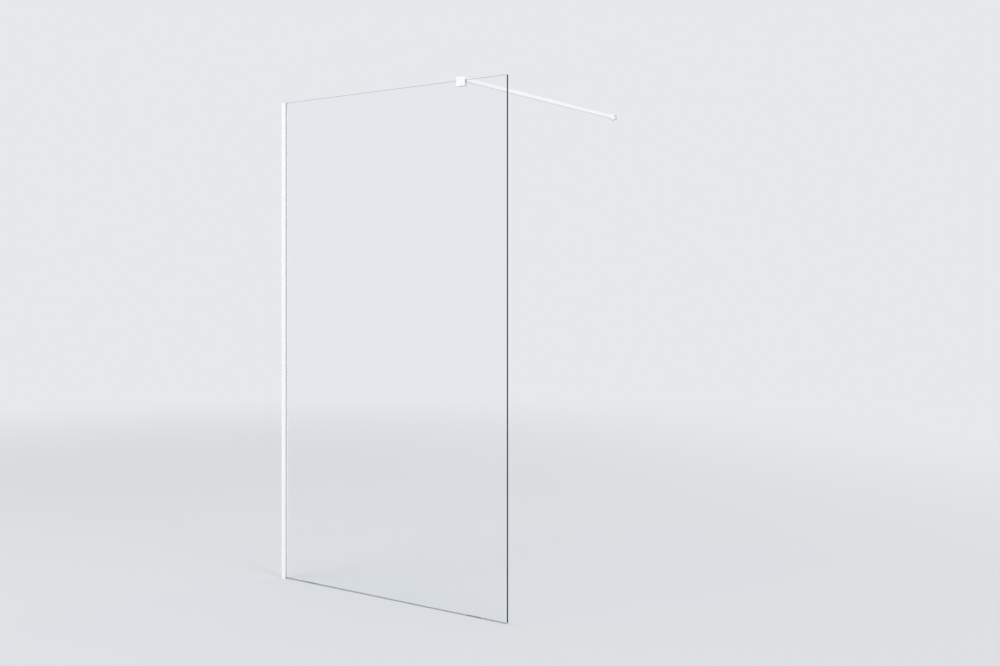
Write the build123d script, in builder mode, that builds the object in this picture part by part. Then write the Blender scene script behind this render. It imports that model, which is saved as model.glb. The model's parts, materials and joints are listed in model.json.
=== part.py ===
from build123d import *
import os

# Walk-in shower screen: a clear glass panel held in a wall channel, with a stabiliser bar from
# a clamp on the top edge of the glass to the wall behind it. All sizes are in millimetres.
# X runs along the glass from the side wall to the free edge, Y from the glass towards the back
# wall, and Z up. The origin is the foot of the channel, on the side wall, in the middle plane
# of the glass.

# Overall sizes
fitted_width = 1144.0  # side wall to the free edge of the glass
overall_height = 2000.0  # floor to the top edge of the glass
back_wall_distance = 1184.0  # middle plane of the glass to the back wall

# Glass panel
glass_thickness = 8.0
glass_arris = 0.6  # flat ground along every edge
glass_bite = 9.5  # how far the glass reaches into the channel
glass_travel = 3.0  # how far the glass can be set in or out in the channel
glass_slip = 0.1  # gap between the glass and what it slides in
block_length = 60.0
block_height = 3.0
block_inset = 150.0  # ends of the glass to the middle of each block

# Wall channel
channel_projection = 18.0  # side wall to the lips of the channel
channel_front = 12.0  # middle plane of the glass to the front of the channel
channel_back = 12.0  # middle plane of the glass to the back of the channel
channel_web = 2.0
channel_leg = 2.0
channel_round = 0.8  # rounding of the outer corners
back_leg_length = 9.0  # side wall to the end of the leg that the bead clips to
gasket_stop = 1.0  # rib that the front gasket butts against
gasket_length = 8.0  # depth of both gaskets, from the lips inwards
gasket_recess = 0.5  # lips of the channel to the faces of the gaskets
lip_depth = 0.5  # depth of the grooves between the sealing lips of a gasket
lip_count = 3
rear_gasket_thickness = 1.5
wall_screw_radius = 2.75  # holes for the wall screws
wall_screw_count = 4
screw_end_distance = 99.0  # ends of the channel to the first wall screws

# Clip bead
bead_wall = 1.5
clip_thickness = 1.4
clip_gap = 0.2  # between the clip and the leg that it snaps on
clip_reach = 4.5  # side wall to the end of the clip
barb_start = 5.0  # side wall to the barb of the clip
barb_length = 1.6
barb_height = 0.6
barb_room = 0.3  # gap all round the barb in its groove

# Cap on top of the channel
cap_thickness = 2.0
cap_gap = 0.2  # between the cap and what it plugs into
cap_peg_depth = 8.0
cap_bevel = 0.4

# Glass clamp
clamp_position = 937.0  # side wall to the middle of the clamp
clamp_length = 38.0
clamp_rise = 12.5  # top edge of the glass to the top of the clamp
clamp_drop = 22.5  # top edge of the glass to the bottom of the clamp
clamp_front_jaw = 5.0
clamp_back_jaw = 4.5
clamp_round = 1.0
liner_thickness = 2.0
liner_recess = 0.3  # ends of the clamp to the ends of the liner
pressure_plate = 1.5
pressure_plate_margin = 3.0
grub_radius = 2.5
grub_spacing = 24.0
grub_recess = 0.4

# Stabiliser bar
bar_size = 15.0
bar_wall = 1.5
bar_round = 1.2
plug_gap = 0.05  # between a plug and the bore of the bar
plug_length = 25.0
plug_flange = 2.0  # shoulder of the clamp end plug that covers the end of the tube
set_screw_radius = 2.0
set_screw_length = 5.0
set_screw_inset = 12.0  # end of the tube to the set screw
set_screw_room = 0.2  # gap round a set screw in the wall of the tube

# Swivel at the clamp
clamp_pivot_offset = 9.0  # back of the clamp to the pivot
clamp_ear = 3.5
clamp_washer = 0.5
clamp_washer_radius = 6.5
clamp_eye_radius = 7.0
clamp_pin_radius = 2.5
clamp_head_radius = 4.5

# Swivel at the wall bracket
bracket_width = 37.0
bracket_height = 28.0
bracket_thickness = 5.0
bracket_round = 1.2
bracket_bevel = 0.6
bracket_pivot_offset = 12.0  # front of the plate to the pivot
bracket_ear = 4.0
bracket_ear_radius = 8.5
bracket_eye_radius = 8.0
bracket_washer = 2.3
bracket_pin_radius = 3.0
bracket_head_radius = 5.5
bracket_screw_spacing = 25.0
bracket_screw_radius = 2.25
bracket_screw_head = 4.3
knuckle_width = 18.0
knuckle_length = 45.0  # end of the tube to the shoulder at the swivel

# Clearances of both swivels
swivel_gap = 1.5  # shoulder of a bar end to the round ends of the ears
axial_play = 0.1  # between a washer and the tongue
running_gap = 0.05  # radial, between a pivot screw and its bush
fixed_gap = 0.02  # radial, round a screw that is held fast
bush_wall = 1.2
pivot_cover = 1.2  # solid metal left over the tip of a pivot screw
screw_tip = 0.25  # bevel at the tip of a screw, as a share of its radius
socket_depth = 2.0
socket_size = 0.9  # width across flats of a socket, as a share of its screw's radius

# Places worked out from the sizes above
glass_half = glass_thickness / 2
glass_start = channel_projection - glass_bite
seat = glass_half + glass_slip  # face of a gasket or a liner from the middle plane
channel_height = overall_height - cap_thickness
front_leg_inside = -channel_front + channel_leg
back_leg_inside = channel_back - channel_leg
bead_inside = seat + rear_gasket_thickness
gasket_end = channel_projection - gasket_recess
gasket_start = gasket_end - gasket_length
wall_screw_pitch = (channel_height - 2 * screw_end_distance) / (wall_screw_count - 1)

clamp_slot_front = -(seat + liner_thickness)
clamp_front = clamp_slot_front - clamp_front_jaw
clamp_slot_back = seat + liner_thickness + pressure_plate
clamp_back = clamp_slot_back + clamp_back_jaw
clamp_top = overall_height + clamp_rise
clamp_bottom = overall_height - clamp_drop
clamp_slot_top = overall_height + glass_slip + liner_thickness
grub_height = overall_height - clamp_drop / 2

bar_height = clamp_top - bar_size / 2
bar_bottom = bar_height - bar_size / 2
bar_bore = bar_size - 2 * bar_wall
clamp_pivot = clamp_back + clamp_pivot_offset
clamp_ear_radius = bar_size / 2
clamp_shoulder = clamp_pivot + clamp_ear_radius + swivel_gap
tube_start = clamp_shoulder + plug_flange
bracket_front = back_wall_distance - bracket_thickness
bracket_pivot = bracket_front - bracket_pivot_offset
bracket_shoulder = bracket_pivot - bracket_ear_radius - swivel_gap
tube_end = bracket_shoulder - knuckle_length
tube_length = tube_end - tube_start

clamp_tongue = bar_size - 2 * (clamp_ear + clamp_washer + axial_play)
bracket_tongue = bracket_height - 2 * (bracket_ear + bracket_washer + axial_play)


def gasket_profile(face, back, lip):
    """Points of a gasket between the plain side at back and sealing lips that end at face."""
    pitch = gasket_length / lip_count
    points = [(gasket_start, back), (gasket_start, face)]
    for n in range(lip_count):
        start = gasket_start + n * pitch
        points += [(start + pitch / 2, face), (start + pitch * 3 / 4, face - lip)]
        if n < lip_count - 1:
            points.append((start + pitch, face))
    return points + [(gasket_end, face), (gasket_end, back)]


def pivot_screw(x, y, bottom, length, radius, head_radius):
    """A countersunk socket screw that stands upright on its head, the pin of a swivel."""
    with BuildPart() as screw:
        with BuildSketch(Plane(origin=(x, y, bottom), x_dir=(1, 0, 0), z_dir=(0, -1, 0))):
            with BuildLine():
                Polyline(
                    (0, 0),
                    (head_radius, 0),
                    (radius, head_radius - radius),
                    (radius, length - radius * screw_tip),
                    (radius * (1 - screw_tip), length),
                    (0, length),
                    close=True,
                )
            make_face()
        revolve(axis=Axis((x, y, bottom), (0, 0, 1)))
        with BuildSketch(Plane.XY.offset(bottom)):
            with Locations((x, y)):
                RegularPolygon(radius * socket_size / 2, 6, major_radius=False)
        extrude(amount=socket_depth, mode=Mode.SUBTRACT)
    return screw.part


def pivot_bore(x, y, bottom, top_depth, radius, head_radius):
    """The hole that a pivot screw fills, from its head at the bottom to its blind end."""
    with BuildPart() as bore:
        with BuildSketch(Plane(origin=(x, y, bottom), x_dir=(1, 0, 0), z_dir=(0, -1, 0))):
            with BuildLine():
                Polyline(
                    (0, 0),
                    (head_radius + fixed_gap, 0),
                    (radius + fixed_gap, head_radius - radius),
                    (radius + fixed_gap, top_depth),
                    (0, top_depth),
                    close=True,
                )
            make_face()
        revolve(axis=Axis((x, y, bottom), (0, 0, 1)))
    return bore.part


def ring_pair(x, y, heights, thickness, outer, inner):
    """Two flat washers round an upright axis, each resting on one of the heights."""
    with BuildPart() as rings:
        for height in heights:
            with BuildSketch(Plane.XY.offset(height)):
                with Locations((x, y)):
                    Circle(outer)
                    Circle(inner, mode=Mode.SUBTRACT)
            extrude(amount=thickness)
    return rings.part


def bush(x, y, middle, length, pin_radius):
    """A plain nylon sleeve round an upright pivot screw."""
    with BuildPart() as sleeve:
        with BuildSketch(Plane.XY.offset(middle - length / 2)):
            with Locations((x, y)):
                Circle(pin_radius + running_gap + bush_wall)
                Circle(pin_radius + running_gap, mode=Mode.SUBTRACT)
        extrude(amount=length)
    return sleeve.part


def set_screw(y):
    """A socket set screw in the underside of the bar, flush with it."""
    with BuildPart() as screw:
        with BuildSketch(Plane.XY.offset(bar_bottom)):
            with Locations((clamp_position, y)):
                Circle(set_screw_radius)
        extrude(amount=set_screw_length)
        chamfer(screw.edges().group_by(Axis.Z)[-1], set_screw_radius * screw_tip)
        with BuildSketch(Plane.XY.offset(bar_bottom)):
            with Locations((clamp_position, y)):
                RegularPolygon(set_screw_radius * socket_size / 2, 6, major_radius=False)
        extrude(amount=socket_depth, mode=Mode.SUBTRACT)
    return screw.part


# Wall channel: an open U, with a rib that stops the front gasket and a groove for the bead's clip
with BuildPart() as wall_channel:
    with BuildSketch() as channel_section:
        with BuildLine():
            Polyline(
                (0, -channel_front),
                (channel_projection, -channel_front),
                (channel_projection, front_leg_inside),
                (gasket_start, front_leg_inside),
                (gasket_start, front_leg_inside + gasket_stop),
                (gasket_start - gasket_stop, front_leg_inside + gasket_stop),
                (gasket_start - gasket_stop, front_leg_inside),
                (channel_web, front_leg_inside),
                (channel_web, back_leg_inside),
                (barb_start - barb_room, back_leg_inside),
                (barb_start - barb_room, back_leg_inside + barb_height),
                (barb_start + barb_length + barb_room, back_leg_inside + barb_height),
                (barb_start + barb_length + barb_room, back_leg_inside),
                (back_leg_length, back_leg_inside),
                (back_leg_length, channel_back),
                (0, channel_back),
                close=True,
            )
        make_face()
        fillet(channel_section.vertices().group_by(Axis.X)[-1], channel_round)
    extrude(amount=channel_height)
    with BuildSketch(Plane.YZ):
        with Locations((0, channel_height / 2)):
            with GridLocations(1, wall_screw_pitch, 1, wall_screw_count):
                Circle(wall_screw_radius)
    extrude(amount=channel_web, mode=Mode.SUBTRACT)
wall_channel.part.label = "wall_channel"

# Clip bead: a thin-walled strip that closes the channel behind the glass
bead_start = back_leg_length + clip_gap
clip_outside = back_leg_inside - clip_gap
clip_inside = clip_outside - clip_thickness
with BuildPart() as channel_clip_bead:
    with BuildSketch() as bead_section:
        with BuildLine():
            Polyline(
                (bead_start, channel_back),
                (channel_projection, channel_back),
                (channel_projection, bead_inside),
                (gasket_start - bead_wall, bead_inside),
                (gasket_start - bead_wall, bead_inside + bead_wall),
                (channel_projection - bead_wall, bead_inside + bead_wall),
                (channel_projection - bead_wall, channel_back - bead_wall),
                (bead_start + bead_wall, channel_back - bead_wall),
                (bead_start + bead_wall, clip_inside),
                (clip_reach, clip_inside),
                (clip_reach, clip_outside),
                (barb_start, clip_outside),
                (barb_start + barb_room, clip_outside + barb_height),
                (barb_start + barb_length, clip_outside + barb_height),
                (barb_start + barb_length, clip_outside),
                (bead_start, clip_outside),
                close=True,
            )
        make_face()
        fillet(bead_section.vertices().group_by(Axis.X)[-1], channel_round)
    extrude(amount=channel_height)
channel_clip_bead.part.label = "channel_clip_bead"

# Gaskets: plain backs, and lips that bear on the two faces of the glass
with BuildPart() as front_gasket:
    with BuildSketch():
        with BuildLine():
            Polyline(*gasket_profile(-seat, front_leg_inside, lip_depth), close=True)
        make_face()
    extrude(amount=channel_height)
front_gasket.part.label = "front_gasket"

with BuildPart() as rear_gasket:
    with BuildSketch():
        with BuildLine():
            Polyline(*gasket_profile(seat, bead_inside, -lip_depth), close=True)
        make_face()
    extrude(amount=channel_height)
rear_gasket.part.label = "rear_gasket"

# Channel cap: a flat plate, slotted for the glass, with two pegs that plug the hollow behind it
cap_slot_half = glass_half + 2 * cap_gap
cap_slot_start = glass_start - glass_travel - 2 * cap_gap
peg_start = channel_web + cap_gap
peg_front = front_leg_inside + cap_gap
peg_back = clip_inside - cap_gap
with BuildPart() as channel_top_cap:
    with BuildSketch(Plane.XY.offset(channel_height)) as cap_plate:
        with BuildLine():
            Polyline(
                (0, -channel_front),
                (channel_projection, -channel_front),
                (channel_projection, -cap_slot_half),
                (cap_slot_start, -cap_slot_half),
                (cap_slot_start, cap_slot_half),
                (channel_projection, cap_slot_half),
                (channel_projection, channel_back),
                (0, channel_back),
                close=True,
            )
        make_face()
        outer = cap_plate.vertices().group_by(Axis.X)[-1].sort_by(Axis.Y)
        fillet([outer[0], outer[-1]], channel_round)
    extrude(amount=cap_thickness)
    chamfer(channel_top_cap.faces().sort_by(Axis.Z)[-1].edges(), cap_bevel)
    with BuildSketch(Plane.XY.offset(channel_height - cap_peg_depth)):
        with BuildLine():
            Polyline(
                (peg_start, peg_front),
                (gasket_start - gasket_stop - cap_gap, peg_front),
                (gasket_start - gasket_stop - cap_gap, -cap_slot_half),
                (peg_start, -cap_slot_half),
                close=True,
            )
        make_face()
        with BuildLine():
            Polyline(
                (peg_start, cap_slot_half),
                (gasket_start - bead_wall - cap_gap, cap_slot_half),
                (gasket_start - bead_wall - cap_gap, peg_back),
                (peg_start, peg_back),
                close=True,
            )
        make_face()
    extrude(amount=cap_peg_depth)
channel_top_cap.part.label = "channel_top_cap"

# Glass panel, standing on its setting blocks
glass_middle = (glass_start + fitted_width) / 2
with BuildPart() as glass_panel:
    with BuildSketch(Plane.XY.offset(block_height)):
        with Locations((glass_middle, 0)):
            Rectangle(fitted_width - glass_start, glass_thickness)
    extrude(amount=overall_height - block_height)
    chamfer(glass_panel.edges(), glass_arris)
glass_panel.part.label = "glass_panel"

with BuildPart() as glass_setting_blocks:
    with BuildSketch():
        with Locations((glass_middle, 0)):
            with GridLocations(fitted_width - glass_start - 2 * block_inset, 1, 2, 1):
                Rectangle(block_length, glass_thickness)
    extrude(amount=block_height)
glass_setting_blocks.part.label = "glass_setting_blocks"

# Clamp body: a block that straddles the glass, with a fork at its back for the bar
with BuildPart() as clamp_body:
    with BuildSketch(Plane.YZ.offset(clamp_position - clamp_length / 2)):
        with BuildLine():
            Polyline(
                (clamp_front, clamp_bottom),
                (clamp_front, clamp_top),
                (clamp_back, clamp_top),
                (clamp_back, clamp_bottom),
                (clamp_slot_back, clamp_bottom),
                (clamp_slot_back, clamp_slot_top),
                (clamp_slot_front, clamp_slot_top),
                (clamp_slot_front, clamp_bottom),
                close=True,
            )
        make_face()
    extrude(amount=clamp_length)
    outer_faces = clamp_body.faces().filter_by(Axis.Y)
    fillet(
        outer_faces.sort_by(Axis.Y)[0].edges() + outer_faces.sort_by(Axis.Y)[-1].edges(),
        clamp_round,
    )
    for ear_bottom in (bar_bottom, clamp_top - clamp_ear):
        with BuildSketch(Plane.XY.offset(ear_bottom)):
            with Locations((clamp_position, clamp_pivot)):
                Circle(clamp_ear_radius)
            with Locations((clamp_position, (clamp_pivot + clamp_back - clamp_round) / 2)):
                Rectangle(2 * clamp_ear_radius, clamp_pivot - clamp_back + clamp_round)
        extrude(amount=clamp_ear)
    for end in (-1, 1):
        with BuildSketch(Plane.XZ.offset(-clamp_slot_back)):
            with Locations((clamp_position + end * grub_spacing / 2, grub_height)):
                Circle(grub_radius + fixed_gap)
        extrude(amount=-clamp_back_jaw, mode=Mode.SUBTRACT)
    add(
        pivot_bore(
            clamp_position,
            clamp_pivot,
            bar_bottom,
            bar_size - pivot_cover,
            clamp_pin_radius,
            clamp_head_radius,
        ),
        mode=Mode.SUBTRACT,
    )
clamp_body.part.label = "clamp_body"

# Clamp liner: a soft U between the clamp and the glass
with BuildPart() as clamp_liner:
    with BuildSketch(Plane.YZ.offset(clamp_position - clamp_length / 2 + liner_recess)):
        with BuildLine():
            Polyline(
                (clamp_slot_front, clamp_bottom + liner_recess),
                (clamp_slot_front, clamp_slot_top),
                (seat + liner_thickness, clamp_slot_top),
                (seat + liner_thickness, clamp_bottom + liner_recess),
                (seat, clamp_bottom + liner_recess),
                (seat, overall_height + glass_slip),
                (-seat, overall_height + glass_slip),
                (-seat, clamp_bottom + liner_recess),
                close=True,
            )
        make_face()
    extrude(amount=clamp_length - 2 * liner_recess)
clamp_liner.part.label = "clamp_liner"

# Pressure plate: steel, between the liner and the tips of the grub screws
plate_top = clamp_slot_top - pressure_plate_margin
plate_bottom = clamp_bottom + pressure_plate_margin
with BuildPart() as clamp_pressure_plate:
    with BuildSketch(Plane.XZ.offset(-(seat + liner_thickness))):
        with Locations((clamp_position, (plate_top + plate_bottom) / 2)):
            RectangleRounded(
                clamp_length - 2 * pressure_plate_margin,
                plate_top - plate_bottom,
                pressure_plate,
            )
    extrude(amount=-pressure_plate)
clamp_pressure_plate.part.label = "clamp_pressure_plate"

# Grub screws through the back jaw, with sockets that face the wall behind
with BuildPart() as clamp_grub_screws:
    with BuildSketch(Plane.XZ.offset(-clamp_slot_back)):
        with Locations((clamp_position, grub_height)):
            with GridLocations(grub_spacing, 1, 2, 1):
                Circle(grub_radius)
    extrude(amount=-(clamp_back_jaw - grub_recess))
    with BuildSketch(Plane.XZ.offset(-(clamp_back - grub_recess))):
        with Locations((clamp_position, grub_height)):
            with GridLocations(grub_spacing, 1, 2, 1):
                RegularPolygon(grub_radius * socket_size / 2, 6, major_radius=False)
    extrude(amount=socket_depth, mode=Mode.SUBTRACT)
clamp_grub_screws.part.label = "clamp_grub_screws"

clamp_pivot_screw = pivot_screw(
    clamp_position,
    clamp_pivot,
    bar_bottom,
    bar_size - pivot_cover,
    clamp_pin_radius,
    clamp_head_radius,
)
clamp_pivot_screw.label = "clamp_pivot_screw"

clamp_pivot_washers = ring_pair(
    clamp_position,
    clamp_pivot,
    (bar_bottom + clamp_ear, clamp_top - clamp_ear - clamp_washer),
    clamp_washer,
    clamp_washer_radius,
    clamp_pin_radius + running_gap,
)
clamp_pivot_washers.label = "clamp_pivot_washers"

# Stabiliser bar: a square tube with a hole near each end for a set screw
set_screw_ends = (tube_start + set_screw_inset, tube_end - set_screw_inset)
with BuildPart() as stabiliser_bar:
    with BuildSketch(Plane.XZ.offset(-tube_start)):
        with Locations((clamp_position, bar_height)):
            RectangleRounded(bar_size, bar_size, bar_round)
            Rectangle(bar_bore, bar_bore, mode=Mode.SUBTRACT)
    extrude(amount=-tube_length)
    with BuildSketch(Plane.XY.offset(bar_bottom)):
        with Locations(*[(clamp_position, y) for y in set_screw_ends]):
            Circle(set_screw_radius + set_screw_room)
    extrude(amount=bar_wall, mode=Mode.SUBTRACT)
stabiliser_bar.part.label = "stabiliser_bar"

# Clamp end insert: a plug in the tube, a shoulder that covers its end and a tongue with an eye
plug_size = bar_bore - 2 * plug_gap
with BuildPart() as clamp_end_insert:
    with BuildSketch(Plane.XZ.offset(-clamp_shoulder)):
        with Locations((clamp_position, bar_height)):
            RectangleRounded(bar_size, bar_size, bar_round)
    extrude(amount=-plug_flange)
    with BuildSketch(Plane.XZ.offset(-tube_start)):
        with Locations((clamp_position, bar_height)):
            Rectangle(plug_size, plug_size)
    extrude(amount=-plug_length)
    with BuildSketch(Plane.XY.offset(bar_height - clamp_tongue / 2)):
        with Locations((clamp_position, clamp_pivot)):
            Circle(clamp_eye_radius)
        with Locations((clamp_position, (clamp_pivot + clamp_shoulder) / 2)):
            Rectangle(2 * clamp_eye_radius, clamp_shoulder - clamp_pivot)
        with Locations((clamp_position, clamp_pivot)):
            Circle(clamp_pin_radius + running_gap + bush_wall + fixed_gap, mode=Mode.SUBTRACT)
    extrude(amount=clamp_tongue)
    with BuildSketch(Plane.XY.offset(bar_bottom)):
        with Locations((clamp_position, set_screw_ends[0])):
            Circle(set_screw_radius + fixed_gap)
    extrude(amount=set_screw_length + fixed_gap, mode=Mode.SUBTRACT)
clamp_end_insert.part.label = "clamp_end_insert"

clamp_end_bush = bush(
    clamp_position, clamp_pivot, bar_height, clamp_tongue, clamp_pin_radius
)
clamp_end_bush.label = "clamp_end_bush"

clamp_end_set_screw = set_screw(set_screw_ends[0])
clamp_end_set_screw.label = "clamp_end_set_screw"

# Wall end knuckle: a plug in the tube, a head that tapers up to the fork and a tongue with an eye
with BuildPart() as wall_end_knuckle:
    with BuildSketch(Plane.XZ.offset(-tube_end)):
        with Locations((clamp_position, bar_height)):
            RectangleRounded(bar_size, bar_size, bar_round)
    with BuildSketch(Plane.XZ.offset(-bracket_shoulder)):
        with Locations((clamp_position, bar_height)):
            RectangleRounded(knuckle_width, bracket_height, bar_round)
    loft(ruled=True)
    with BuildSketch(Plane.XZ.offset(-tube_end)):
        with Locations((clamp_position, bar_height)):
            Rectangle(plug_size, plug_size)
    extrude(amount=plug_length)
    with BuildSketch(Plane.XY.offset(bar_height - bracket_tongue / 2)):
        with Locations((clamp_position, bracket_pivot)):
            Circle(bracket_eye_radius)
        with Locations((clamp_position, (bracket_pivot + bracket_shoulder) / 2)):
            Rectangle(2 * bracket_eye_radius, bracket_pivot - bracket_shoulder)
        with Locations((clamp_position, bracket_pivot)):
            Circle(bracket_pin_radius + running_gap + bush_wall + fixed_gap, mode=Mode.SUBTRACT)
    extrude(amount=bracket_tongue)
    with BuildSketch(Plane.XY.offset(bar_bottom)):
        with Locations((clamp_position, set_screw_ends[1])):
            Circle(set_screw_radius + fixed_gap)
    extrude(amount=set_screw_length + fixed_gap, mode=Mode.SUBTRACT)
wall_end_knuckle.part.label = "wall_end_knuckle"

wall_end_bush = bush(
    clamp_position, bracket_pivot, bar_height, bracket_tongue, bracket_pin_radius
)
wall_end_bush.label = "wall_end_bush"

wall_end_set_screw = set_screw(set_screw_ends[1])
wall_end_set_screw.label = "wall_end_set_screw"

# Wall bracket: a plate with two countersunk holes and a fork
bracket_bottom = bar_height - bracket_height / 2
bracket_top = bar_height + bracket_height / 2
with BuildPart() as wall_bracket:
    with BuildSketch(Plane.XZ.offset(-bracket_front)):
        with Locations((clamp_position, bar_height)):
            RectangleRounded(bracket_width, bracket_height, bracket_round)
    extrude(amount=-bracket_thickness)
    chamfer(wall_bracket.faces().sort_by(Axis.Y)[0].edges(), bracket_bevel)
    for ear_bottom in (bracket_bottom, bracket_top - bracket_ear):
        with BuildSketch(Plane.XY.offset(ear_bottom)):
            with Locations((clamp_position, bracket_pivot)):
                Circle(bracket_ear_radius)
            with Locations((clamp_position, (bracket_pivot + bracket_front + bracket_bevel) / 2)):
                Rectangle(2 * bracket_ear_radius, bracket_pivot_offset + bracket_bevel)
        extrude(amount=bracket_ear)
    with Locations(Plane((clamp_position, bracket_front, bar_height), (1, 0, 0), (0, -1, 0))):
        with GridLocations(bracket_screw_spacing, 1, 2, 1):
            CounterSinkHole(bracket_screw_radius, bracket_screw_head, depth=bracket_thickness)
    add(
        pivot_bore(
            clamp_position,
            bracket_pivot,
            bracket_bottom,
            bracket_height - pivot_cover,
            bracket_pin_radius,
            bracket_head_radius,
        ),
        mode=Mode.SUBTRACT,
    )
wall_bracket.part.label = "wall_bracket"

bracket_pivot_screw = pivot_screw(
    clamp_position,
    bracket_pivot,
    bracket_bottom,
    bracket_height - pivot_cover,
    bracket_pin_radius,
    bracket_head_radius,
)
bracket_pivot_screw.label = "bracket_pivot_screw"

bracket_pivot_washers = ring_pair(
    clamp_position,
    bracket_pivot,
    (bracket_bottom + bracket_ear, bracket_top - bracket_ear - bracket_washer),
    bracket_washer,
    bracket_eye_radius,
    bracket_pin_radius + running_gap,
)
bracket_pivot_washers.label = "bracket_pivot_washers"

os.makedirs("parts", exist_ok=True)
for piece in (
    wall_channel.part,
    channel_clip_bead.part,
    channel_top_cap.part,
    front_gasket.part,
    rear_gasket.part,
    glass_panel.part,
    glass_setting_blocks.part,
    clamp_body.part,
    clamp_liner.part,
    clamp_pressure_plate.part,
    clamp_grub_screws.part,
    clamp_pivot_screw,
    clamp_pivot_washers,
    stabiliser_bar.part,
    clamp_end_insert.part,
    clamp_end_bush,
    clamp_end_set_screw,
    wall_end_knuckle.part,
    wall_end_bush,
    wall_end_set_screw,
    wall_bracket.part,
    bracket_pivot_screw,
    bracket_pivot_washers,
):
    export_step(piece, f"parts/{piece.label}.step")
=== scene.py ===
import json
import math
import bmesh
import bpy
import numpy as np
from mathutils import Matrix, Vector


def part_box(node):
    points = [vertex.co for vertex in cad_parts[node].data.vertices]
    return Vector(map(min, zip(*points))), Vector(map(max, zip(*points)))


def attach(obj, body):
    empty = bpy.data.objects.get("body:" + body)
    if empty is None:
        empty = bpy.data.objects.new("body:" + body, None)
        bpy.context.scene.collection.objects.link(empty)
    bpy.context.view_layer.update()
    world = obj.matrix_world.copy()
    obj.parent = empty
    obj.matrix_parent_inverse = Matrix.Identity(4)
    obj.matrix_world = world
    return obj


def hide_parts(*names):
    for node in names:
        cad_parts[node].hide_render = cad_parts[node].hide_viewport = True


# Walk-in shower screen: a clear glass sheet in a white wall channel, and a white square bar that
# steadies its top edge. The axes and the origin are the frame's. Lengths in the dictionaries are
# in millimetres.
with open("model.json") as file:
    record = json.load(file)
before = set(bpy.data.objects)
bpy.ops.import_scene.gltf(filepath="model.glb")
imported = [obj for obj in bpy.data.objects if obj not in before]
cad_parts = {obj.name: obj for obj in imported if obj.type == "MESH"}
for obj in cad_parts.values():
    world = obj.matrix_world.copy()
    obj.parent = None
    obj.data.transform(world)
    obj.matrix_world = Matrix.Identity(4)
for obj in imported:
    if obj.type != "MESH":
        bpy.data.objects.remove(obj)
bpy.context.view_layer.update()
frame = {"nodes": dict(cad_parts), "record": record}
record = frame["record"]
mm = 0.001
noiseLow, noiseHigh = 0.3, 0.7  # nearly all values of a noise texture lie between these


def linearColor(hexCode, alpha=1.0):
    # sRGB hex to the linear red, green and blue that shaders use
    parts = np.array([int(hexCode[i:i + 2], 16) for i in (1, 3, 5)]) / 255
    curve = np.where(parts <= 0.04045, parts / 12.92, ((parts + 0.055) / 1.055) ** 2.4)
    return (*curve.tolist(), alpha)


def addNode(tree, kind, inputs=None, **settings):
    # One shader node. An input given as a node is linked to its first output, one given as a
    # socket is linked to that, and any other value is set
    node = tree.nodes.new(kind)
    for name, value in settings.items():
        setattr(node, name, value)
    for name, value in (inputs or {}).items():
        socket = next(s for s in node.inputs if s.enabled and name in (s.name, s.identifier))
        if isinstance(value, bpy.types.Node):
            value = next(s for s in value.outputs if s.enabled)
        if isinstance(value, bpy.types.NodeSocket):
            tree.links.new(value, socket)
        else:
            socket.default_value = value
    return node


def newMaterial(name):
    # An empty material, its node tree and the Object coordinates in metres
    material = bpy.data.materials.new(name)
    material.use_nodes = True
    material.node_tree.nodes.clear()
    tree = material.node_tree
    return material, tree, addNode(tree, "ShaderNodeTexCoord").outputs["Object"]


def letLightThrough(tree, clear, shadow):
    # Lamps and the light between surfaces pass straight through a clear surface, which tints them
    path = addNode(tree, "ShaderNodeLightPath")
    soft = addNode(tree, "ShaderNodeMath", {
        "Value": path.outputs["Is Shadow Ray"], "Value_001": path.outputs["Is Diffuse Ray"]},
        operation="MAXIMUM")
    straight = addNode(tree, "ShaderNodeBsdfTransparent", {"Color": linearColor(shadow)})
    mixed = addNode(tree, "ShaderNodeMixShader", {
        "Fac": soft, "Shader": clear, "Shader_001": straight})
    addNode(tree, "ShaderNodeOutputMaterial", {"Surface": mixed})


powderCoat = {
    "light": "#F8F9F9",
    "dark": "#F3F4F4",  # faint clouds, where the coat is a little thinner
    "cloud": 70.0,  # size of those clouds
    "peel": 1.3,  # size of one dimple of the orange peel
    "peelHeight": 0.010,
    "smooth": 0.28,
    "rough": 0.42,
    "ior": 1.5,
}


def makePowderCoat():
    # Polyester powder coat, sprayed and baked on aluminium: a satin white skin whose fine orange
    # peel breaks up the highlights
    v = powderCoat
    material, tree, place = newMaterial("white_powder_coat_satin")
    cloud = addNode(tree, "ShaderNodeTexNoise", {"Vector": place, "Scale": 1 / (v["cloud"] * mm)})
    peel = addNode(tree, "ShaderNodeTexNoise", {
        "Vector": place, "Scale": 1 / (v["peel"] * mm), "Detail": 2.0, "Roughness": 0.4})
    color = addNode(tree, "ShaderNodeMix", {
        "Factor": cloud, "A": linearColor(v["light"]), "B": linearColor(v["dark"])},
        data_type="RGBA")
    gloss = addNode(tree, "ShaderNodeMapRange", {
        "Value": peel, "From Min": noiseLow, "From Max": noiseHigh,
        "To Min": v["smooth"], "To Max": v["rough"]})
    bump = addNode(tree, "ShaderNodeBump", {
        "Height": peel, "Strength": 1.0, "Distance": v["peelHeight"] * mm})
    surface = addNode(tree, "ShaderNodeBsdfPrincipled", {
        "Base Color": color, "Roughness": gloss, "Normal": bump, "IOR": v["ior"]})
    addNode(tree, "ShaderNodeOutputMaterial", {"Surface": surface})
    return material


mouldedCap = {
    "light": "#F4F4F1",
    "dark": "#EEEEEA",
    "cloudScale": 120.0,  # clouds in a metre
    "grain": 0.35,  # size of the spark-eroded grain
    "grainHeight": 0.006,
    "rough": 0.52,
    "ior": 1.53,
}


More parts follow.
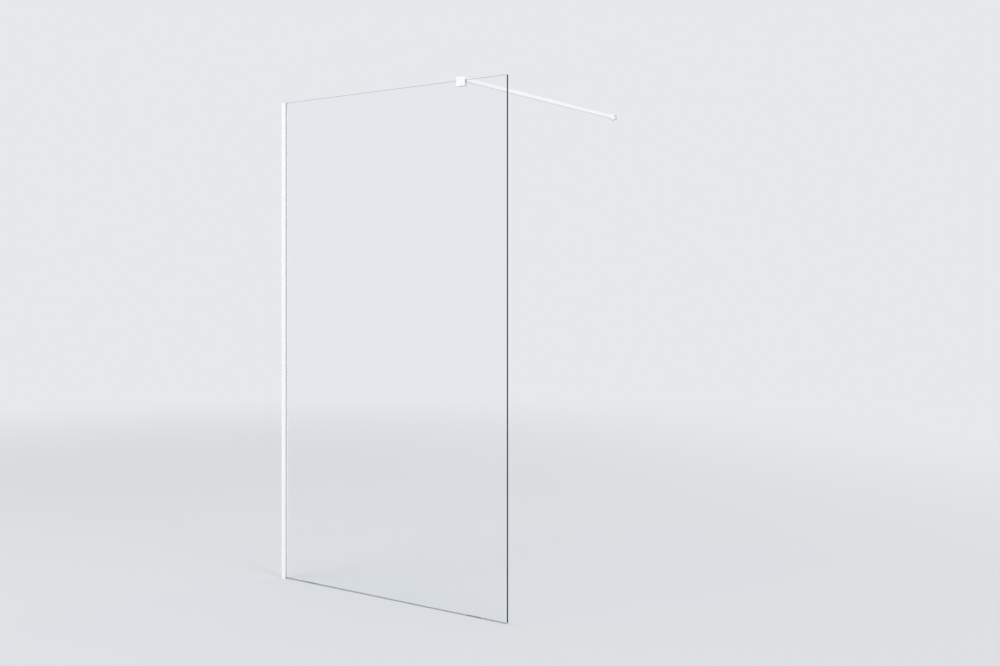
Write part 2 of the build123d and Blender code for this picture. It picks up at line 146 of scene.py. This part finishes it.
def makeMouldedCap():
    # ABS, injection moulded in a spark-eroded tool: white, a touch warmer and duller than the coat
    v = mouldedCap
    material, tree, place = newMaterial("white_moulded_abs")
    cloud = addNode(tree, "ShaderNodeTexNoise", {"Vector": place, "Scale": v["cloudScale"]})
    grain = addNode(tree, "ShaderNodeTexVoronoi", {
        "Vector": place, "Scale": 1 / (v["grain"] * mm)}, feature="SMOOTH_F1")
    color = addNode(tree, "ShaderNodeMix", {
        "Factor": cloud, "A": linearColor(v["light"]), "B": linearColor(v["dark"])},
        data_type="RGBA")
    bump = addNode(tree, "ShaderNodeBump", {
        "Height": grain, "Strength": 1.0, "Distance": v["grainHeight"] * mm})
    surface = addNode(tree, "ShaderNodeBsdfPrincipled", {
        "Base Color": color, "Roughness": v["rough"], "Normal": bump, "IOR": v["ior"]})
    addNode(tree, "ShaderNodeOutputMaterial", {"Surface": surface})
    return material


floatGlass = {
    "tint": "#FDFEFE",
    "shadow": "#FAFCFC",  # what each face lets through of a lamp's light
    "clean": 0.0,  # roughness elsewhere
    "wiped": 0.012,  # roughness in the faint marks left by wiping
    "wipe": 140.0,  # size of one mark
    "wipeRange": (0.45, 0.75),  # share of the noise that makes the marks
    "ior": 1.52,
}


def makeFloatGlass():
    # Toughened float glass, drawn flat and polished by the flame: clear, with a trace of green and
    # wiping marks too faint to see except in a reflection
    v = floatGlass
    material, tree, place = newMaterial("clear_toughened_float_glass")
    stretched = addNode(tree, "ShaderNodeMapping", {"Vector": place, "Scale": (1.0, 1.0, 0.25)})
    wipe = addNode(tree, "ShaderNodeTexNoise", {
        "Vector": stretched, "Scale": 1 / (v["wipe"] * mm), "Detail": 3.0})
    gloss = addNode(tree, "ShaderNodeMapRange", {
        "Value": wipe, "From Min": v["wipeRange"][0], "From Max": v["wipeRange"][1],
        "To Min": v["clean"], "To Max": v["wiped"]})
    sheet = addNode(tree, "ShaderNodeBsdfPrincipled", {
        "Base Color": linearColor(v["tint"]), "Roughness": gloss, "IOR": v["ior"],
        "Transmission Weight": 1.0})
    letLightThrough(tree, sheet, v["shadow"])
    return material


paintedDarkEdge = {
    # deep and pale are near-black greens: painted shade, standing in for the dark look of a real
    # edge
    "deep": "#0A1B16",
    "pale": "#17332B",
    "inside": "#E9F1EF",
    "insideRough": 0.03,
    "line": 0.35,  # spacing of the grinding lines across the edge
    "lineLength": 90.0,
    "smooth": 0.12,
    "rough": 0.26,
    "ior": 1.52,
    "shine": 0.06,  # share of the usual reflection, to keep the edge dark
}


def makePaintedDarkEdge():
    # Ground and polished edge of the glass, with fine grinding lines along it. From outside it is
    # painted near-black green, painted shade for the light that is lost inside the sheet and leaves
    # a real edge dark. From inside it reflects all light, as glass does at a shallow angle
    v = paintedDarkEdge
    material, tree, place = newMaterial("glass_edge_painted_dark")
    along = 1 / (v["lineLength"] * mm)
    stretched = addNode(tree, "ShaderNodeMapping", {
        "Vector": place, "Scale": (along, 1 / (v["line"] * mm), along)})
    lines = addNode(tree, "ShaderNodeTexNoise", {"Vector": stretched, "Scale": 1.0, "Detail": 2.0})
    color = addNode(tree, "ShaderNodeMix", {
        "Factor": lines, "A": linearColor(v["deep"]), "B": linearColor(v["pale"])},
        data_type="RGBA")
    gloss = addNode(tree, "ShaderNodeMapRange", {
        "Value": lines, "From Min": noiseLow, "From Max": noiseHigh,
        "To Min": v["smooth"], "To Max": v["rough"]})
    outside = addNode(tree, "ShaderNodeBsdfPrincipled", {
        "Base Color": color, "Roughness": gloss, "IOR": v["ior"],
        "Specular IOR Level": v["shine"]})
    inside = addNode(tree, "ShaderNodeBsdfAnisotropic", {
        "Color": linearColor(v["inside"]), "Roughness": v["insideRough"]})
    side = addNode(tree, "ShaderNodeNewGeometry").outputs["Backfacing"]
    surface = addNode(tree, "ShaderNodeMixShader", {
        "Fac": side, "Shader": outside, "Shader_001": inside})
    addNode(tree, "ShaderNodeOutputMaterial", {"Surface": surface})
    return material


softPvc = {
    "tint": "#F6F8F8",
    "shadow": "#F6FAFA",
    "clear": 0.08,  # share of the light that passes through
    "streak": 0.8,  # width of the flow lines that run along the strip
    "streakLength": 60.0,
    "streakHeight": 0.01,
    "smooth": 0.12,
    "rough": 0.30,
    "ior": 1.53,
}


def makeSoftPvc():
    # Soft PVC, extruded: milky, with flow lines along its length
    v = softPvc
    material, tree, place = newMaterial("milky_soft_pvc")
    across = 1 / (v["streak"] * mm)
    stretched = addNode(tree, "ShaderNodeMapping", {
        "Vector": place, "Scale": (across, across, 1 / (v["streakLength"] * mm))})
    streaks = addNode(tree, "ShaderNodeTexNoise", {
        "Vector": stretched, "Scale": 1.0, "Detail": 3.0})
    gloss = addNode(tree, "ShaderNodeMapRange", {
        "Value": streaks, "From Min": noiseLow, "From Max": noiseHigh,
        "To Min": v["smooth"], "To Max": v["rough"]})
    bump = addNode(tree, "ShaderNodeBump", {
        "Height": streaks, "Strength": 1.0, "Distance": v["streakHeight"] * mm})
    strip = addNode(tree, "ShaderNodeBsdfPrincipled", {
        "Base Color": linearColor(v["tint"]), "Roughness": gloss, "Normal": bump, "IOR": v["ior"],
        "Transmission Weight": v["clear"]})
    letLightThrough(tree, strip, v["shadow"])
    return material


milkySilicone = {
    "tint": "#F4F6F6",
    "shadow": "#F6FAFA",
    "clear": 0.05,  # share of the light that passes through
    "grain": 0.4,
    "grainHeight": 0.01,
    "smooth": 0.28,
    "rough": 0.45,
    "ior": 1.41,
}


def makeMilkySilicone():
    # Silicone rubber, moulded: milky, with the grain of its mould
    v = milkySilicone
    material, tree, place = newMaterial("milky_silicone_rubber")
    grain = addNode(tree, "ShaderNodeTexNoise", {"Vector": place, "Scale": 1 / (v["grain"] * mm)})
    gloss = addNode(tree, "ShaderNodeMapRange", {
        "Value": grain, "From Min": noiseLow, "From Max": noiseHigh,
        "To Min": v["smooth"], "To Max": v["rough"]})
    bump = addNode(tree, "ShaderNodeBump", {
        "Height": grain, "Strength": 1.0, "Distance": v["grainHeight"] * mm})
    liner = addNode(tree, "ShaderNodeBsdfPrincipled", {
        "Base Color": linearColor(v["tint"]), "Roughness": gloss, "Normal": bump, "IOR": v["ior"],
        "Transmission Weight": v["clear"]})
    letLightThrough(tree, liner, v["shadow"])
    return material


blackNylonSlitShade = {
    # light and dark are blacks that also serve as painted shade for the slit at the bracket's
    # swivel
    "light": "#2A2A2C",
    "dark": "#202022",
    "cloud": 5.0,
    "grain": 0.25,
    "grainHeight": 0.006,
    "rough": 0.46,
    "ior": 1.53,
}


def makeBlackNylonSlitShade():
    # Nylon 66, injection moulded: black with a low sheen and a fine eroded grain. On the bracket
    # washers this black is also painted shade, standing in for the shaded slit beside the swivel
    v = blackNylonSlitShade
    material, tree, place = newMaterial("black_nylon_painted_slit_shade")
    cloud = addNode(tree, "ShaderNodeTexNoise", {"Vector": place, "Scale": 1 / (v["cloud"] * mm)})
    grain = addNode(tree, "ShaderNodeTexNoise", {"Vector": place, "Scale": 1 / (v["grain"] * mm)})
    color = addNode(tree, "ShaderNodeMix", {
        "Factor": cloud, "A": linearColor(v["dark"]), "B": linearColor(v["light"])},
        data_type="RGBA")
    bump = addNode(tree, "ShaderNodeBump", {
        "Height": grain, "Strength": 1.0, "Distance": v["grainHeight"] * mm})
    surface = addNode(tree, "ShaderNodeBsdfPrincipled", {
        "Base Color": color, "Roughness": v["rough"], "Normal": bump, "IOR": v["ior"]})
    addNode(tree, "ShaderNodeOutputMaterial", {"Surface": surface})
    return material


clearBlocks = {
    "tint": "#E4EAEC",
    "clear": 0.8,  # share of the light that passes through
    "grain": 0.5,
    "smooth": 0.10,
    "rough": 0.30,
    "ior": 1.585,
}


def makeClearBlocks():
    # Polycarbonate, injection moulded: clear, hazed a little by its moulded surface
    v = clearBlocks
    material, tree, place = newMaterial("clear_moulded_polycarbonate")
    grain = addNode(tree, "ShaderNodeTexNoise", {"Vector": place, "Scale": 1 / (v["grain"] * mm)})
    gloss = addNode(tree, "ShaderNodeMapRange", {
        "Value": grain, "From Min": noiseLow, "From Max": noiseHigh,
        "To Min": v["smooth"], "To Max": v["rough"]})
    surface = addNode(tree, "ShaderNodeBsdfPrincipled", {
        "Base Color": linearColor(v["tint"]), "Roughness": gloss, "IOR": v["ior"],
        "Transmission Weight": v["clear"]})
    addNode(tree, "ShaderNodeOutputMaterial", {"Surface": surface})
    return material


stainlessSteel = {
    "light": "#CFCDC9",
    "dark": "#B5B3AF",
    "grit": 0.18,
    "gritHeight": 0.003,
    "smooth": 0.22,
    "rough": 0.40,
}


def makeStainlessSteel():
    # A2 stainless steel, cold headed and tumbled: bright, with an even satin grit
    v = stainlessSteel
    material, tree, place = newMaterial("tumbled_stainless_steel")
    grit = addNode(tree, "ShaderNodeTexNoise", {
        "Vector": place, "Scale": 1 / (v["grit"] * mm), "Detail": 4.0})
    color = addNode(tree, "ShaderNodeMix", {
        "Factor": grit, "A": linearColor(v["dark"]), "B": linearColor(v["light"])},
        data_type="RGBA")
    gloss = addNode(tree, "ShaderNodeMapRange", {
        "Value": grit, "From Min": noiseLow, "From Max": noiseHigh,
        "To Min": v["smooth"], "To Max": v["rough"]})
    bump = addNode(tree, "ShaderNodeBump", {
        "Height": grit, "Strength": 1.0, "Distance": v["gritHeight"] * mm})
    surface = addNode(tree, "ShaderNodeBsdfPrincipled", {
        "Base Color": color, "Roughness": gloss, "Normal": bump, "Metallic": 1.0})
    addNode(tree, "ShaderNodeOutputMaterial", {"Surface": surface})
    return material


finishes = {
    "white_coat": makePowderCoat(),
    "white_plastic": makeMouldedCap(),
    "clear_glass": makeFloatGlass(),
    "glass_edge": makePaintedDarkEdge(),
    "milky_gasket": makeSoftPvc(),
    "milky_liner": makeMilkySilicone(),
    "black_nylon": makeBlackNylonSlitShade(),
    "clear_plastic": makeClearBlocks(),
    "steel": makeStainlessSteel(),
}
print("materials made:", len(finishes))

bodyOf = {node: body for body, nodes in record["behaviour"]["bodies"].items() for node in nodes}
slotOf = {part["node"]: part["material_slot"] for part in record["subparts"]}
for node, piece in frame["nodes"].items():
    piece.data.materials.clear()
    piece.data.materials.append(finishes[slotOf[node]])


def roundedOutline(corners, radii, steps=5):
    # Each corner becomes an arc. It touches both sides at radius / tan(half the inside angle) from
    # the corner, and its points turn evenly about a centre on the bisector
    p = np.asarray(corners, float)
    r = np.broadcast_to(np.asarray(radii, float), len(p))[:, None]
    back = np.roll(p, 1, 0) - p
    ahead = np.roll(p, -1, 0) - p
    back /= np.linalg.norm(back, axis=1, keepdims=True)
    ahead /= np.linalg.norm(ahead, axis=1, keepdims=True)
    half = np.arccos(np.clip((back * ahead).sum(1, keepdims=True), -1, 1)) / 2
    middle = back + ahead
    middle /= np.linalg.norm(middle, axis=1, keepdims=True)
    centre = p + middle * r / np.sin(half)
    start = p + back * r / np.tan(half) - centre
    end = p + ahead * r / np.tan(half) - centre
    turn = (math.pi - 2 * half)[:, None]
    share = np.linspace(0, 1, steps)[None, :, None]
    arc = np.sin((1 - share) * turn) * start[:, None] + np.sin(share * turn) * end[:, None]
    return (centre[:, None] + arc / np.sin(turn)).reshape(-1, 2)


def placed(outline, axis, station):
    # A flat outline stood across one axis at a station: its two columns go to the other two axes
    return np.insert(outline, axis, station, axis=1)


def skinned(name, rings, looped=False):
    # Rings with equal counts of points are joined in quads. A looped skin closes on its first
    # ring, as a tube's wall does, and any other one gets an end face at both ends
    rings = np.asarray(rings, float)
    count, size = rings.shape[:2]
    k, n = np.meshgrid(np.arange(count if looped else count - 1), np.arange(size), indexing="ij")
    this, after = (k % count) * size, ((k + 1) % count) * size
    quads = np.stack([this + n, this + (n + 1) % size, after + (n + 1) % size, after + n], -1)
    faces = quads.reshape(-1, 4).tolist()
    if not looped:
        faces += [list(range(size))[::-1], list(range((count - 1) * size, count * size))]
    mesh = bpy.data.meshes.new(name)
    mesh.from_pydata(rings.reshape(-1, 3), [], faces)
    facesOutward(mesh)
    return mesh


def facesOutward(mesh):
    # Every face of a closed mesh is turned to point away from its inside
    work = bmesh.new()
    work.from_mesh(mesh)
    bmesh.ops.recalc_face_normals(work, faces=work.faces)
    work.to_mesh(mesh)
    work.free()


edgeFinish = {
    "sharpFrom": 32,  # degrees between faces, from which shading breaks
    "bevelFrom": 40,  # degrees between faces, from which an edge is broken
    "steps": 2,
}


def addPiece(name, mesh, nodes, materials=None, edge=0.0):
    # A finished piece in place of CAD nodes: it rides on their body and may get its edges broken
    v = edgeFinish
    piece = bpy.data.objects.new(name, mesh)
    bpy.context.scene.collection.objects.link(piece)
    mesh.materials.clear()
    for key in materials or [slotOf[nodes[0]]]:
        mesh.materials.append(finishes[key])
    mesh.polygons.foreach_set("use_smooth", np.ones(len(mesh.polygons), bool))
    mesh.set_sharp_from_angle(angle=math.radians(v["sharpFrom"]))
    if edge:
        bevel = piece.modifiers.new("broken edges", "BEVEL")
        bevel.width = edge * mm
        bevel.segments = v["steps"]
        bevel.limit_method = "ANGLE"
        bevel.angle_limit = math.radians(v["bevelFrom"])
        bevel.harden_normals = True
    normals = piece.modifiers.new("flat faces stay flat", "WEIGHTED_NORMAL")
    normals.keep_sharp = True
    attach(piece, bodyOf[nodes[0]])
    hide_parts(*nodes)
    return piece


def drilled(mesh, centres, axis, radius, depth, sides=40):
    # Round holes cut across one axis: each cutter is a ring of points carried along that axis
    target = bpy.data.objects.new("drilled", mesh)
    bpy.context.scene.collection.objects.link(target)
    cutters = []
    angle = np.linspace(0, 2 * math.pi, sides, endpoint=False)
    circle = np.stack([np.cos(angle), np.sin(angle)], 1) * radius
    for centre in centres:
        flat = np.delete(np.asarray(centre, float), axis)
        ends = (centre[axis] - depth / 2, centre[axis] + depth / 2)
        rod = skinned("drill", [placed(circle + flat, axis, end) for end in ends])
        cutter = bpy.data.objects.new("drill", rod)
        bpy.context.scene.collection.objects.link(cutter)
        hole = target.modifiers.new("hole", "BOOLEAN")
        hole.object = cutter
        hole.solver = "EXACT"
        cutters.append(cutter)
    bpy.context.view_layer.update()
    cut = target.evaluated_get(bpy.context.evaluated_depsgraph_get())
    result = bpy.data.meshes.new_from_object(cut)
    for leftOver in [target, *cutters]:
        bpy.data.objects.remove(leftOver)
    return result


print("helpers ready")

glassSheet = {
    "arris": 0.35,  # flat ground along every edge
    "cornerRound": 1.6,
    "cornerSteps": 7,  # points round one corner
}


def makeGlassSheet():
    # Rings of one rounded rectangle across the thickness, the outer two set in by the arris
    v = glassSheet
    low, high = (np.array(c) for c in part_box("glass_panel"))
    arris = v["arris"] * mm
    rings = []
    for inset, y in ((arris, low[1]), (0, low[1] + arris), (0, high[1] - arris), (arris, high[1])):
        x0, z0, x1, z1 = low[0] + inset, low[2] + inset, high[0] - inset, high[2] - inset
        corners = [(x0, z0), (x1, z0), (x1, z1), (x0, z1)]
        outline = roundedOutline(corners, v["cornerRound"] * mm - inset, v["cornerSteps"])
        rings.append(placed(outline, 1, y))
    mesh = skinned("glass_sheet", rings)
    edges = np.repeat([0, 1, 0], len(rings[0])).reshape(3, -1)  # arris, edge, arris
    # the free edge's arrises also get the painted dark edge: painted shade right across the edge
    edges[:, 2 * v["cornerSteps"] - 1] = 1  # the upright free edge is dark right across
    edges = np.append(edges, [0, 0])
    piece = addPiece("glass_sheet", mesh, ["glass_panel"], ["clear_glass", "glass_edge"])
    mesh.polygons.foreach_set("material_index", edges)
    mesh.polygons.foreach_set("use_smooth", np.zeros(len(mesh.polygons), bool))
    piece.modifiers.clear()
    return piece


wallChannel = {
    "web": 2.0,
    "leg": 2.0,
    "backLeg": 9.0,  # side wall to the end of the leg behind the glass
    "stop": 1.0,  # rib that the seal butts against
    "groove": (4.7, 6.9),  # start and end of the groove that the bead's barb snaps into
    "grooveDepth": 0.6,
    "lipRound": 0.8,
    "edgeRound": 0.25,
    "hole": 2.75,  # radius
}


def makeWallChannel():
    # An open U carried up its height, with the screw holes drilled through its web
    v = wallChannel
    low, high = (np.array(c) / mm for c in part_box("wall_channel"))
    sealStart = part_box("front_gasket")[0][0] / mm
    inFront, inBack = low[1] + v["leg"], high[1] - v["leg"]
    grooveStart, grooveEnd = v["groove"]
    corners = [
        (0, low[1]), (high[0], low[1]), (high[0], inFront), (sealStart, inFront),
        (sealStart, inFront + v["stop"]), (sealStart - v["stop"], inFront + v["stop"]),
        (sealStart - v["stop"], inFront), (v["web"], inFront), (v["web"], inBack),
        (grooveStart, inBack), (grooveStart, inBack + v["grooveDepth"]),
        (grooveEnd, inBack + v["grooveDepth"]), (grooveEnd, inBack), (v["backLeg"], inBack),
        (v["backLeg"], high[1]), (0, high[1]),
    ]
    radii = [v["lipRound"] if i in (1, 2) else v["edgeRound"] for i in range(len(corners))]
    outline = roundedOutline(corners, radii) * mm
    mesh = skinned("channel_extrusion", [placed(outline, 2, z * mm) for z in (low[2], high[2])])
    holes = []
    for mount in record["mounts"]:
        if mount["name"].startswith("channel_screws"):
            reach = mount["dims"]["spacing_y_mm"] * mm / 2
            middle = mount["pos_m"][2]
            holes += [(v["web"] * mm / 2, 0, middle + side * reach) for side in (-1, 1)]
    mesh = drilled(mesh, holes, 0, v["hole"] * mm, 2 * v["web"] * mm)
    return addPiece("channel_extrusion", mesh, ["wall_channel"], edge=0.15)


clipBead = {
    "wall": 1.5,
    "clip": 1.4,
    "clipGap": 0.2,
    "clipReach": 4.5,
    "barb": (5.0, 5.3, 6.6),  # foot, tip and end of the barb
    "barbHeight": 0.6,
    "barbRound": 0.05,
    "lipRound": 0.8,
    "edgeRound": 0.2,
}


def makeClipBead():
    # A thin-walled strip that closes the channel behind the glass, with a barbed clip along it
    v = clipBead
    low, high = (np.array(c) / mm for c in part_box("channel_clip_bead"))
    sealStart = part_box("rear_gasket")[0][0] / mm
    start = wallChannel["backLeg"] + v["clipGap"]
    outside = high[1] - wallChannel["leg"] - v["clipGap"]
    inside = outside - v["clip"]
    foot, tip, end = v["barb"]
    corners = [
        (start, high[1]), (high[0], high[1]), (high[0], low[1]), (sealStart - v["wall"], low[1]),
        (sealStart - v["wall"], low[1] + v["wall"]), (high[0] - v["wall"], low[1] + v["wall"]),
        (high[0] - v["wall"], high[1] - v["wall"]), (start + v["wall"], high[1] - v["wall"]),
        (start + v["wall"], inside), (v["clipReach"], inside), (v["clipReach"], outside),
        (foot, outside), (tip, outside + v["barbHeight"]), (end, outside + v["barbHeight"]),
        (end, outside), (start, outside),
    ]
    radii = [v["lipRound"] if i in (1, 2) else v["edgeRound"] for i in range(len(corners))]
    radii[11:15] = [v["barbRound"]] * 4  # the barb keeps its bite
    outline = roundedOutline(corners, radii) * mm
    mesh = skinned("bead_extrusion", [placed(outline, 2, z * mm) for z in (low[2], high[2])])
    return addPiece("bead_extrusion", mesh, ["channel_clip_bead"], edge=0.15)


sealStrip = {
    "lips": 3,
    "lipDepth": 0.5,
    "lipShape": 0.7,  # below 1 the lips are fuller than a sine
    "pointsPerLip": 14,
}


def makeSeal(name, node, glassSide):
    # The side towards the glass is a row of rounded lips: its depth follows the size of a sine
    v = sealStrip
    low, high = (np.array(c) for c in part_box(node))
    face, back = (high[1], low[1]) if glassSide > 0 else (low[1], high[1])
    share = np.linspace(0, 1, v["lips"] * v["pointsPerLip"] + 1)
    dip = v["lipDepth"] * mm * (1 - np.abs(np.sin(math.pi * v["lips"] * share)) ** v["lipShape"])
    lips = np.stack([low[0] + share * (high[0] - low[0]), face - glassSide * dip], 1)
    outline = np.vstack([lips, [(high[0], back), (low[0], back)]])
    mesh = skinned(name, [placed(outline, 2, z) for z in (low[2], high[2])])
    return addPiece(name, mesh, [node])


steadyBar = {
    "wall": 1.5,
    "outsideRound": 1.2,
    "insideRound": 0.4,
    "cornerSteps": 7,
    "screwHole": 2.2,  # radius
}


def makeSteadyBar():
    # A square tube: outer and inner outlines at both ends, closed into one wall
    v = steadyBar
    low, high = (np.array(c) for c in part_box("stabiliser_bar"))
    wall = v["wall"] * mm

    def square(inset, radius):
        x0, z0, x1, z1 = low[0] + inset, low[2] + inset, high[0] - inset, high[2] - inset
        corners = [(x0, z0), (x1, z0), (x1, z1), (x0, z1)]
        return roundedOutline(corners, radius * mm, v["cornerSteps"])

    outer, inner = square(0, v["outsideRound"]), square(wall, v["insideRound"])
    rings = [
        placed(outer, 1, low[1]), placed(outer, 1, high[1]),
        placed(inner, 1, high[1]), placed(inner, 1, low[1]),
    ]
    mesh = skinned("bar_tube", rings, looped=True)
    middle = (low[0] + high[0]) / 2
    holes = []
    for node in ("clamp_end_set_screw", "wall_end_set_screw"):
        screwLow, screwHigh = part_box(node)
        holes.append((middle, (screwLow[1] + screwHigh[1]) / 2, low[2] + wall / 2))
    mesh = drilled(mesh, holes, 2, v["screwHole"] * mm, 2 * wall)
    return addPiece("bar_tube", mesh, ["stabiliser_bar"], edge=0.12)


mergeWithin = 0.001
flatWithin = 0.5  # degrees
brokenEdges = {  # name, CAD node and width of the broken edge
    "cap_moulding": ("channel_top_cap", 0.12),
    "clamp_casting": ("clamp_body", 0.35),
    "liner_moulding": ("clamp_liner", 0.3),
    "insert_casting": ("clamp_end_insert", 0.3),
    "knuckle_casting": ("wall_end_knuckle", 0.4),
    "bracket_casting": ("wall_bracket", 0.3),
    "grub_screw_pair": ("clamp_grub_screws", 0.15),
    "clamp_swivel_screw": ("clamp_pivot_screw", 0.15),
    "bracket_swivel_screw": ("bracket_pivot_screw", 0.2),
    "clamp_set_screw": ("clamp_end_set_screw", 0.12),
    "knuckle_set_screw": ("wall_end_set_screw", 0.12),
    "clamp_washer_pair": ("clamp_pivot_washers", 0.1),
    # these black washers are partly painted shade: they stand in for the shaded slit by the swivel
    "bracket_washer_pair": ("bracket_pivot_washers", 0.25),
    "setting_block_pair": ("glass_setting_blocks", 0.4),
}


def makeBrokenEdges():
    # Castings, mouldings and screws keep the frame's shape, with their sharp edges rounded
    for name, (node, edge) in brokenEdges.items():
        mesh = frame["nodes"][node].data.copy()
        work = bmesh.new()
        work.from_mesh(mesh)
        bmesh.ops.remove_doubles(work, verts=work.verts, dist=mergeWithin * mm)
        bmesh.ops.dissolve_limit(
            work, angle_limit=math.radians(flatWithin), verts=work.verts, edges=work.edges)
        bmesh.ops.connect_verts_concave(work, faces=work.faces)
        work.to_mesh(mesh)
        work.free()
        addPiece(name, mesh, [node], edge=edge)


makeGlassSheet()
makeWallChannel()
makeClipBead()
makeSeal("front_seal", "front_gasket", 1)
makeSeal("rear_seal", "rear_gasket", -1)
makeSteadyBar()
makeBrokenEdges()
print("pieces made")

studio = {
    "backdrop": "#E6E8EC",
    "floor": "#DCDEE2",
    "floorRadius": 40.0,  # metres, as are the next two
    "fadeStart": 2.2,
    "fadeEnd": 8.0,
    "floorSides": 96,
    "ambient": 0.72,
    "target": (0.55, 0.3, 1.1),  # metres, where every lamp points
    "lamps": [  # place, size in metres, watts, seen in reflections
        ((-3.0, -5.0, 8.0), 4.0, 131.0, True),
        ((-2.5, -9.0, 3.2), 4.0, 168.0, False),
        ((16.0, -3.2, 6.6), 6.0, 760.0, False),
        ((2.0, 9.0, 4.7), 3.6, 125.0, False),
    ],
}


def seenRay(tree):
    # 1 for rays from the camera, in reflections and through glass, 0 for the light on surfaces
    path = addNode(tree, "ShaderNodeLightPath")
    both = addNode(tree, "ShaderNodeMath", {
        "Value": path.outputs["Is Camera Ray"], "Value_001": path.outputs["Is Glossy Ray"]},
        operation="MAXIMUM")
    return addNode(tree, "ShaderNodeMath", {
        "Value": both, "Value_001": path.outputs["Is Transmission Ray"]}, operation="MAXIMUM")


def makeStudio():
    v = studio
    world = bpy.data.worlds.new("soft studio")
    bpy.context.scene.world = world
    world.use_nodes = True
    tree = world.node_tree
    tree.nodes.clear()
    soft = addNode(tree, "ShaderNodeBackground", {"Color": (1, 1, 1, 1), "Strength": v["ambient"]})
    seen = addNode(tree, "ShaderNodeBackground", {
        "Color": linearColor(v["backdrop"]), "Strength": 1.0})
    mixed = addNode(tree, "ShaderNodeMixShader", {
        "Fac": seenRay(tree), "Shader": soft, "Shader_001": seen})
    addNode(tree, "ShaderNodeOutputWorld", {"Surface": mixed})

    angle = np.linspace(0, 2 * math.pi, v["floorSides"], endpoint=False)
    rim = np.stack([np.cos(angle), np.sin(angle), np.zeros_like(angle)], 1) * v["floorRadius"]
    mesh = bpy.data.meshes.new("floor")
    mesh.from_pydata(rim, [], [list(range(v["floorSides"]))])
    material, tree, place = newMaterial("pale_floor")
    far = addNode(tree, "ShaderNodeVectorMath", {"Vector": place}, operation="LENGTH")
    fade = addNode(tree, "ShaderNodeMapRange", {
        "Value": far.outputs["Value"], "From Min": v["fadeStart"], "From Max": v["fadeEnd"]},
        interpolation_type="SMOOTHSTEP")
    share = addNode(tree, "ShaderNodeMath", {
        "Value": fade, "Value_001": seenRay(tree)}, operation="MULTIPLY")
    near = addNode(tree, "ShaderNodeBsdfDiffuse", {"Color": linearColor(v["floor"])})
    away = addNode(tree, "ShaderNodeEmission", {
        "Color": linearColor(v["backdrop"]), "Strength": 1.0})
    mixed = addNode(tree, "ShaderNodeMixShader", {"Fac": share, "Shader": near, "Shader_001": away})
    addNode(tree, "ShaderNodeOutputMaterial", {"Surface": mixed})
    mesh.materials.append(material)
    floor = bpy.data.objects.new("floor", mesh)
    bpy.context.scene.collection.objects.link(floor)

    for number, (place, size, watts, shines) in enumerate(v["lamps"]):
        lamp = bpy.data.lights.new(f"softbox_{number}", "AREA")
        lamp.size = size
        lamp.energy = watts
        holder = bpy.data.objects.new(lamp.name, lamp)
        holder.location = place
        aim = np.array(v["target"]) - np.array(place)
        holder.rotation_euler = (math.atan2(math.hypot(aim[0], aim[1]), -aim[2]), 0,
                                 math.atan2(aim[1], aim[0]) - math.pi / 2)
        holder.visible_glossy = shines
        holder.visible_transmission = False  # no bright square shows through the glass
        bpy.context.scene.collection.objects.link(holder)


camera = {
    "place": (3.450, -3.376, 1.229),  # metres
    "turn": 34.72,  # degrees to the left of looking along +Y
    "lens": 40.43,
    "sensor": 36.0,
    "picture": (1000, 666),  # pixels of the photograph
    "horizon": 286.2,  # its row at eye height
}


def makeCamera():
    v = camera
    eye = bpy.data.cameras.new("camera")
    eye.lens = v["lens"]
    eye.sensor_width = v["sensor"]
    wide, tall = v["picture"]
    eye.shift_y = (v["horizon"] - tall / 2) / wide
    eye.clip_end = 200
    holder = bpy.data.objects.new("camera", eye)
    holder.location = v["place"]
    holder.rotation_euler = (math.pi / 2, 0, math.radians(v["turn"]))
    bpy.context.scene.collection.objects.link(holder)
    bpy.context.scene.camera = holder


makeStudio()
makeCamera()
bpy.context.scene.view_settings.view_transform = "Standard"
print("studio and camera ready")
